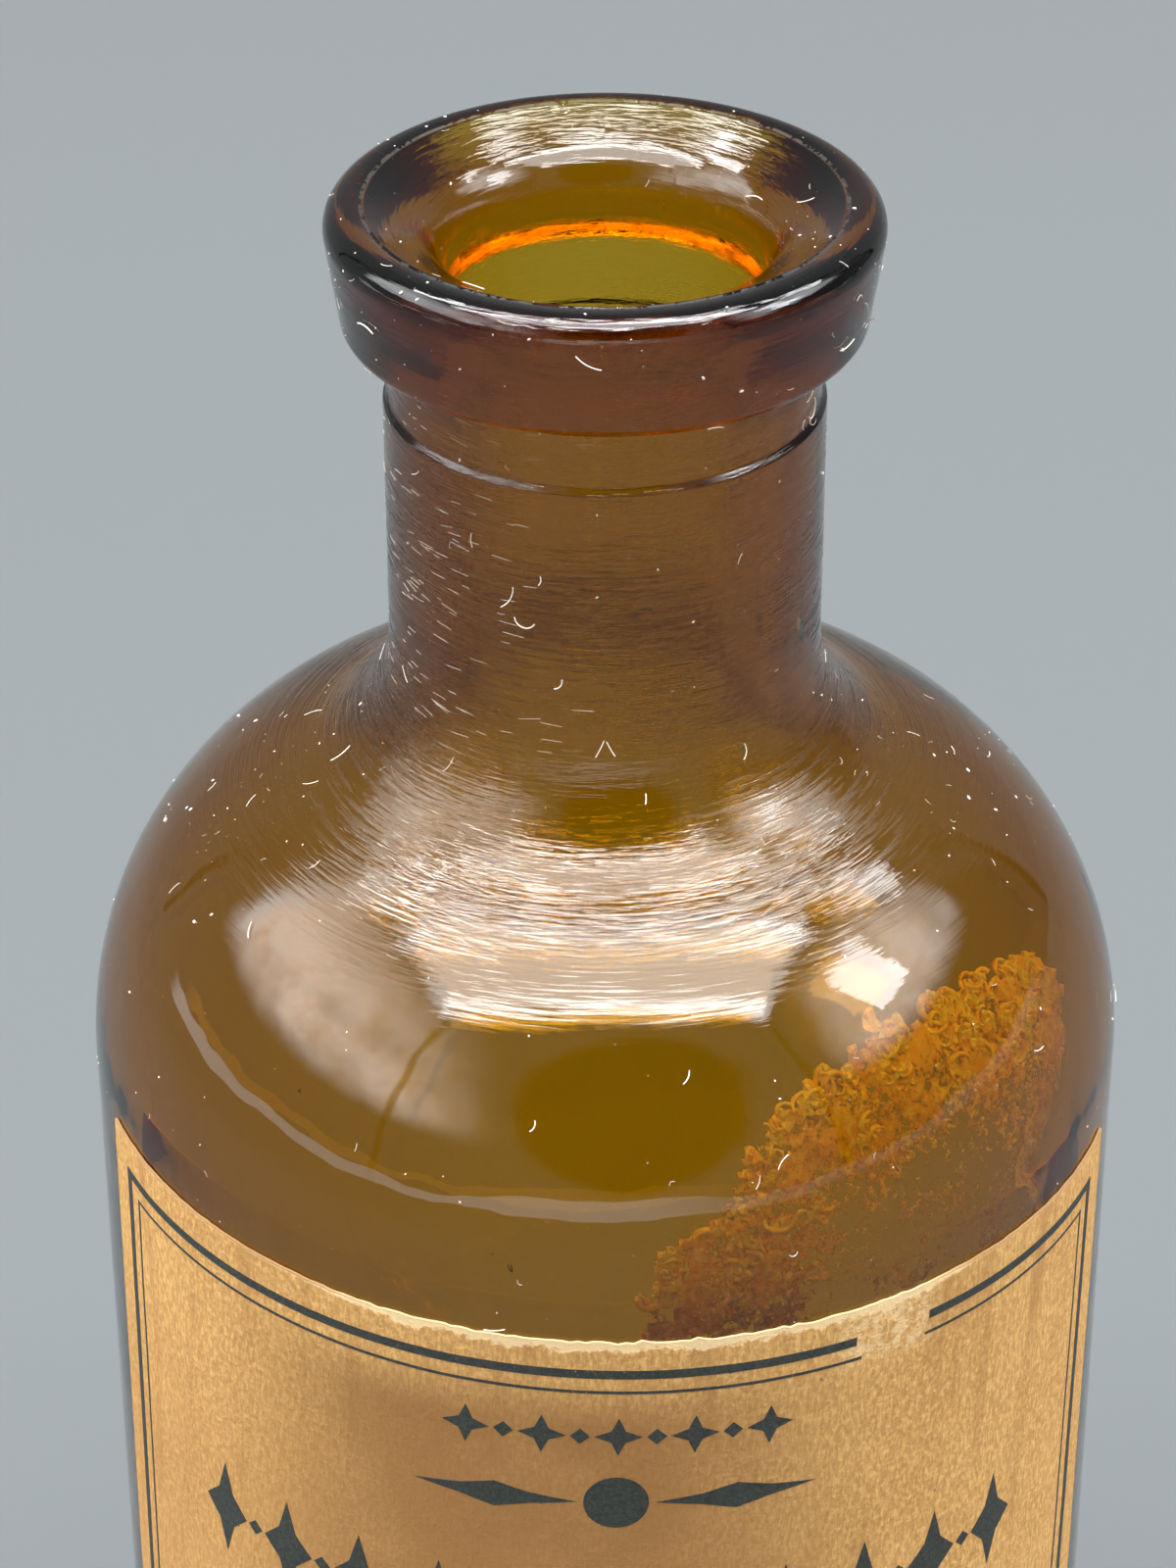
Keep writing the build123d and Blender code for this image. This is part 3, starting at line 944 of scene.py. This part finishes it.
# %% [markdown]
# The film's edge isn't drawn with a ruler: the plane is only where the crust is thickest. A noise moves every point's
# distance from the plane before it is used, faces too far outside are dropped, and the crust's height follows from
# that distance.

# %% Cut the film to the liquid's line and give it relief


def below_line(place):
    """How far a point of the wall lies below the liquid's line, in millimetres, with the line's raggedness."""
    ragged = 0.9 * noise.noise(place * 0.45) + 0.5 * noise.noise(place * 1.7)
    return (place - liquid_point).dot(liquid_normal) + ragged


deselect_all()
film.select_set(True)
bpy.context.view_layer.objects.active = film
for polygon in film.data.polygons:
    polygon.select = below_line(polygon.center / MM) < 0
bpy.ops.object.mode_set(mode="EDIT")
bpy.ops.mesh.select_mode(type="FACE")
bpy.ops.mesh.delete(type="FACE")
bpy.ops.mesh.select_all(action="SELECT")
bpy.ops.mesh.normals_make_consistent(inside=False)
bpy.ops.object.mode_set(mode="OBJECT")
for vertex in film.data.vertices:
    place = vertex.co / MM
    depth = below_line(place)
    crust = max(0.0, 1 - depth / 4.2) * (0.45 + 0.9 * noise.noise(place * 0.6))
    lumps = abs(noise.noise(place * 1.9)) + 0.6 * abs(noise.noise(place * 4.1))
    height = 0.05 + 0.05 * noise.noise(place * 3) + max(0.0, crust) * lumps * 1.1
    inwards = Vector((-place.x, -place.y, 0)).normalized()
    if place.z > SIDE_HEIGHT:
        inwards = (Vector((0, 0, SIDE_HEIGHT)) + Vector((place.x, place.y, 0)).normalized() * shoulder_centre - place).normalized()
    vertex.co += inwards * height * MM
solidify = film.modifiers.new("thickness", "SOLIDIFY")
solidify.thickness = 0.07 * MM
solidify.offset = 0
bpy.ops.object.modifier_apply(modifier="thickness")
bpy.ops.object.shade_smooth()
print("The film has", len(film.data.polygons), "faces")

# %% [markdown]
# ### Flakes
#
# Along the line the dried film has curled up into small worm-like flakes. One curl is modelled: a ring of which
# half is deleted, and one lumpy crumb. They are then copied a few hundred times, each with its own size and turn,
# thickest at the line and thinning out below it.

# %% One curl and its copies
CURL_COUNT = 1000
CRUMB_SHARE = 0.6
WALL_TRIES = 20000

deselect_all()
bpy.ops.mesh.primitive_torus_add(
    major_segments=14, minor_segments=6, major_radius=1.0, minor_radius=0.26, location=(0, 0, 0)
)
curl = bpy.context.object
curl.name = "deposit_curls"
bpy.ops.object.mode_set(mode="EDIT")
bpy.ops.mesh.select_all(action="SELECT")
bpy.ops.mesh.bisect(plane_co=(0, -0.35, 0), plane_no=(0.2, 1, 0), use_fill=True, clear_inner=True)
bpy.ops.object.mode_set(mode="OBJECT")
for vertex in curl.data.vertices:
    vertex.co.z *= 1.5
bpy.ops.object.shade_smooth()
bpy.ops.object.select_all(action="DESELECT")
bpy.ops.mesh.primitive_ico_sphere_add(subdivisions=2, radius=1.0)
crumb = bpy.context.object
for vertex in crumb.data.vertices:
    vertex.co *= 0.75 + 0.9 * noise.noise(vertex.co * 1.7 + Vector((3, 1, 4)))
    vertex.co.z *= 0.55
print("One curl has", len(curl.data.polygons), "faces, and one crumb", len(crumb.data.polygons))

random.seed(11)
wall_points = []
for _ in range(WALL_TRIES):
    turn = radians(random.uniform(FILM_TURN_FROM, FILM_TURN_TO) - 90)
    along = random.uniform(DEPOSIT_FOOT + 8, SIDE_HEIGHT + DEPOSIT_RISE * (film_radius - shoulder_centre))
    if along < SIDE_HEIGHT:
        radius = film_radius
        z = along
        lean = 0.0
    else:
        lean = (along - SIDE_HEIGHT) / (film_radius - shoulder_centre)
        radius = shoulder_centre + (film_radius - shoulder_centre) * cos(lean)
        z = SIDE_HEIGHT + (film_radius - shoulder_centre) * sin(lean)
    spot = Vector((radius * cos(turn), radius * sin(turn), z))
    depth = below_line(spot)
    if depth < -0.3:
        continue
    likely = 0.95 * max(0.0, 1 - depth / 3.6) + 0.03
    patchy = 0.40 + 2.2 * noise.noise(spot * 0.6)
    if random.random() < likely * patchy:
        wall_points.append((spot, turn, lean, depth))
wall_points = wall_points[:CURL_COUNT]
print("There are", len(wall_points), "places for curls")

curls = []
for spot, turn, lean, depth in wall_points:
    pattern = crumb if random.random() < CRUMB_SHARE else curl
    copy = pattern.copy()
    copy.data = pattern.data.copy()
    bpy.context.collection.objects.link(copy)
    size = random.uniform(0.18, 0.52) * (1.0 if depth < 2.5 else 0.6)
    outward = Vector((cos(lean) * cos(turn), cos(lean) * sin(turn), sin(lean)))
    facing = outward.to_track_quat("Z", "Y").to_matrix().to_4x4()
    tumble = Matrix.Rotation(random.uniform(0, 2 * pi), 4, "Z") @ Matrix.Rotation(random.uniform(-0.4, 0.4), 4, "X")
    stretch = Matrix.Diagonal((size * random.uniform(0.8, 1.6), size, size, 1))
    centre = spot - outward * (0.10 + size * 0.3)
    copy.data.transform(Matrix.Scale(MM, 4) @ Matrix.Translation(centre) @ facing @ tumble @ stretch)
    curls.append(copy)
bpy.data.objects.remove(curl)
bpy.data.objects.remove(crumb)
deselect_all()
for copy in curls:
    copy.select_set(True)
bpy.context.view_layer.objects.active = curls[0]
bpy.ops.object.join()
flakes = bpy.context.object
flakes.name = "deposit_flakes"
print("The flakes have", len(flakes.data.polygons), "faces")

# %% [markdown]
# ### The deposit's finish
#
# The thin film is golden specks with gaps between them, so an Alpha mask of fine noise opens it, and the mask closes
# up near the liquid's line, where the crust is. The flakes are a pale yellow resin that lets some light through,
# which a little subsurface scattering gives. Amber glass lies over both, so they are seen as orange and gold.

# %% Film and flakes
speckled, recipe, shader = new_finish("dried_film")
place = recipe.node("ShaderNodeTexCoord").outputs["Object"]
dots = recipe.noise(place, 2300.0, 3.0, 0.72)
blots = recipe.noise(place, 420.0, 3.0, 0.6)
film_colour = recipe.blend(recipe.ramp(dots, 0.50, 0.68), (0.88, 0.60, 0.15, 1), (1.0, 0.99, 0.60, 1))
recipe.tree.links.new(film_colour, shader.inputs["Base Color"])
depth = recipe.node("ShaderNodeVectorMath", {0: place, 1: liquid_normal}, operation="DOT_PRODUCT").outputs["Value"]
depth = recipe.math("SUBTRACT", depth, liquid_point.dot(liquid_normal) * MM)
crust = recipe.ramp(depth, 0.0045, 0.0020)
cover = recipe.math("ADD", dots, recipe.math("MULTIPLY", blots, 0.6))
cover = recipe.math("MULTIPLY_ADD", crust, 0.17, cover)
recipe.tree.links.new(recipe.ramp(cover, 0.89, 0.96), shader.inputs["Alpha"])
shader.inputs["Subsurface Weight"].default_value = 0.4
shader.inputs["Subsurface Radius"].default_value = (1.0, 0.6, 0.2)
shader.inputs["Subsurface Scale"].default_value = 0.0005
shader.inputs["Roughness"].default_value = 0.7
hand_over(film, speckled, ["deposit"])

resin, recipe, shader = new_finish("dried_flakes")
place = recipe.node("ShaderNodeTexCoord").outputs["Object"]
tones = recipe.noise(place, 1300.0, 3.0, 0.6)
flake_colour = recipe.blend(recipe.ramp(tones, 0.35, 0.62), (0.95, 0.70, 0.22, 1), (1.0, 1.0, 0.85, 1))
recipe.tree.links.new(flake_colour, shader.inputs["Base Color"])
shader.inputs["Roughness"].default_value = 0.5
shader.inputs["Subsurface Weight"].default_value = 0.3
shader.inputs["Subsurface Radius"].default_value = (1.0, 0.6, 0.2)
shader.inputs["Subsurface Scale"].default_value = 0.0006
hand_over(flakes, resin)

# %% [markdown]
# ## Dust, lint and painted sheen
#
# The bottle was photographed as found: specks of dust, a few hairs of lint and fibres of paper lie on the shoulder,
# the neck and the lip. They are real little pieces here, because at this distance each one catches the light. One
# grain and one hair are modelled, and copies are set on the glass where its faces look outwards. Short pale streaks
# round the left of the neck are partly fine scratches with dust in them and partly painted sheen.

# %% A grain, a hair, and the faces they can lie on
random.seed(23)


def speck():
    """A flat crumb of dust, one millimetre long."""
    deselect_all()
    bpy.ops.mesh.primitive_ico_sphere_add(subdivisions=1, radius=0.5)
    piece = bpy.context.object
    for vertex in piece.data.vertices:
        vertex.co *= 0.8 + 0.4 * noise.noise(vertex.co * 3)
        vertex.co.z *= 0.35
        vertex.co.y *= 0.6
    return piece


def hair(curve, length=1.0, radius=0.022):
    """A fibre of a given length that bends through an angle as it goes."""
    deselect_all()
    bpy.ops.mesh.primitive_cylinder_add(vertices=5, radius=radius, depth=length, rotation=(0, pi / 2, 0))
    piece = bpy.context.object
    bpy.ops.object.transform_apply(location=False, rotation=True, scale=False)
    bpy.ops.object.mode_set(mode="EDIT")
    bpy.ops.mesh.select_all(action="SELECT")
    for cut in range(1, 9):
        bpy.ops.mesh.select_all(action="SELECT")
        bpy.ops.mesh.bisect(plane_co=(length * (cut / 9 - 0.5), 0, 0), plane_no=(1, 0, 0))
    bpy.ops.object.mode_set(mode="OBJECT")
    bend = piece.modifiers.new("bend", "SIMPLE_DEFORM")
    bend.deform_method = "BEND"
    bend.deform_axis = "Z"
    bend.angle = curve
    bpy.ops.object.modifier_apply(modifier="bend")
    return piece


outer_faces = []
for polygon in glass.data.polygons:
    centre = polygon.center / MM
    if polygon.normal.dot(Vector((centre.x, centre.y, 0))) > 0 or centre.z > RIM - 3:
        if centre.z > SIDE_HEIGHT - 1 and polygon.area > 0.02 * MM * MM:
            outer_faces.append((centre, polygon.normal.copy(), polygon.area / MM**2))
print("Dust can lie on", len(outer_faces), "faces")


# %% Scatter
def turn_of(place):
    """The turn of a point from the front, in degrees."""
    return degrees(atan2(place.x, -place.y))


def scatter(pattern, count, weight, smallest, largest, lift=0.0):
    """Copies of a pattern on the glass. The weight says how likely a face is, from its place and normal."""
    weights = [area * weight(place, normal) for place, normal, area in outer_faces]
    made = []
    for place, normal, area in random.choices(outer_faces, weights, k=count):
        copy = pattern.copy()
        copy.data = pattern.data.copy()
        bpy.context.collection.objects.link(copy)
        size = smallest + (largest - smallest) * random.random() ** 3
        facing = normal.to_track_quat("Z", "Y").to_matrix().to_4x4()
        spin = Matrix.Rotation(random.uniform(0, 2 * pi), 4, "Z")
        jitter = Vector((random.uniform(-0.3, 0.3), random.uniform(-0.3, 0.3), lift + size * 0.1))
        copy.data.transform(
            Matrix.Scale(MM, 4) @ Matrix.Translation(place) @ facing @ Matrix.Translation(jitter) @ spin
            @ Matrix.Scale(size, 4)
        )
        made.append(copy)
    return made


def anywhere(place, normal):
    return 1.0


def on_rim(place, normal):
    return 1.0 if place.z > RIM - 6.5 else 0.0


def on_shoulder_sides(place, normal):
    sideways = abs(turn_of(place))
    return max(0.0, 1 - abs(sideways - 85) / 30) if 82 < place.z < 92 else 0.0


def on_front(place, normal):
    return 1.0 if abs(turn_of(place)) < 70 and SIDE_HEIGHT < place.z < RIM - 6 else 0.0


grain_piece = speck()
short_hair = hair(0.8)
curly_hair = hair(2.6)
dust = []
dust += scatter(grain_piece, 160, anywhere, 0.05, 0.28)
dust += scatter(grain_piece, 170, on_rim, 0.05, 0.34)
dust += scatter(grain_piece, 110, on_shoulder_sides, 0.05, 0.36)
dust += scatter(grain_piece, 70, on_front, 0.05, 0.22)
dust += scatter(short_hair, 34, on_rim, 0.4, 1.4, 0.01)
dust += scatter(short_hair, 30, on_shoulder_sides, 0.3, 1.2, 0.01)
dust += scatter(short_hair, 26, on_front, 0.3, 1.0, 0.01)
dust += scatter(curly_hair, 22, anywhere, 0.4, 1.2, 0.01)
print("There are", len(dust), "bits of dust")

# %% The hairs that can be told apart, each at its place in the picture, and pale streaks of painted sheen on the neck
HAIRS = [
    # turn and height on the glass, bend, length, direction on the glass, all angles in degrees
    (-24.5, 99.9, 60, 1.35, 62),
    (-21.0, 98.6, 150, 1.3, -10),
    (-16.2, 101.1, 70, 0.5, 80),
    (-11.3, 95.85, 100, 0.7, 55),
    (-1.2, 92.7, 10, 0.9, 65),
    (1.4, 92.7, 10, 0.8, -62),
    (37.8, 91.4, 80, 0.8, 75),
    (9.8, 90.4, 20, 0.5, 85),
    (70.9, 106.1, 190, 1.6, 40),
    (69.0, 105.6, 140, 1.2, -30),
    (-11.4, 70.95, 30, 1.0, 10),
    (-8.0, 80.5, 90, 0.6, 70),
    (10.0, 82.2, 60, 0.7, 60),
]
# How many pale streaks lie on the neck: partly fine scratches, partly painted sheen.
SHEEN_STREAK_COUNT = 110


def outer_radius(height):
    """The glass's outer radius at a height, up to the lip."""
    if height < SIDE_HEIGHT:
        return BODY_RADIUS
    shoulder_top = SIDE_HEIGHT + SHOULDER_ROUND * sin(shoulder_swing(SHOULDER_ROUND, NECK_FOOT_ROUND))
    if height < shoulder_top:
        return shoulder_centre + sqrt(SHOULDER_ROUND**2 - (height - SIDE_HEIGHT) ** 2)
    if height < neck_foot:
        return neck_foot_centre - sqrt(NECK_FOOT_ROUND**2 - (neck_foot - height) ** 2)
    return NECK_RADIUS if height < COLLAR_FOOT else COLLAR_RADIUS


def glass_frame(turn, height, lift):
    """A matrix with Z out of the glass and Y up along it, at a place on the outer wall."""
    step = 0.05
    slope = (outer_radius(height + step) - outer_radius(height - step)) / (2 * step)
    angle = radians(turn - 90)
    out = Vector((cos(angle), sin(angle), -slope)).normalized()
    along = Vector((-sin(angle), cos(angle), 0))
    radius = outer_radius(height)
    place = Vector((radius * cos(angle), radius * sin(angle), height)) + out * lift
    frame_rows = Matrix((along, out.cross(along), out)).transposed()
    return Matrix.Translation(place * MM) @ frame_rows.to_4x4() @ Matrix.Scale(MM, 4)


for turn, height, curve, length, direction in HAIRS:
    piece = hair(radians(curve), length, 0.028)
    piece.data.transform(glass_frame(turn, height, 0.03) @ Matrix.Rotation(radians(direction), 4, "Z"))
    dust.append(piece)
# Pale streaks lie round the left of the neck: partly fine scratches with dust in them, partly painted sheen where the
# glass would show the tent's bright side.
sheen_streak = hair(0.0, 1.0, 0.010)
for _ in range(SHEEN_STREAK_COUNT):
    piece = sheen_streak.copy()
    piece.data = sheen_streak.data.copy()
    bpy.context.collection.objects.link(piece)
    turn = random.gauss(-50, 20)
    height = random.uniform(neck_foot - 2, LIP_FOOT - 0.5)
    length = Matrix.Diagonal((random.uniform(0.25, 1.1), 0.6, 0.6, 1))
    tilt = Matrix.Rotation(radians(random.gauss(0, 6)), 4, "Z")
    piece.data.transform(glass_frame(turn, height, 0.004) @ tilt @ length)
    dust.append(piece)
for pattern in (grain_piece, short_hair, curly_hair, sheen_streak):
    bpy.data.objects.remove(pattern)
deselect_all()
for piece in dust:
    piece.select_set(True)
bpy.context.view_layer.objects.active = dust[0]
bpy.ops.object.join()
lint = bpy.context.object
lint.name = "dust_lint_and_sheen_streaks"

# The same pale colour is the dust's own and, on the neck's streaks, painted sheen.
dust_and_sheen_finish, recipe, shader = new_finish("dust")
place = recipe.node("ShaderNodeTexCoord").outputs["Object"]
tones = recipe.noise(place, 160.0, 1.0)
dust_and_sheen_colour = recipe.blend(recipe.ramp(tones, 0.4, 0.6), (0.72, 0.66, 0.56, 1), (0.92, 0.90, 0.86, 1))
recipe.tree.links.new(dust_and_sheen_colour, shader.inputs["Base Color"])
shader.inputs["Roughness"].default_value = 0.8
hand_over(lint, dust_and_sheen_finish)
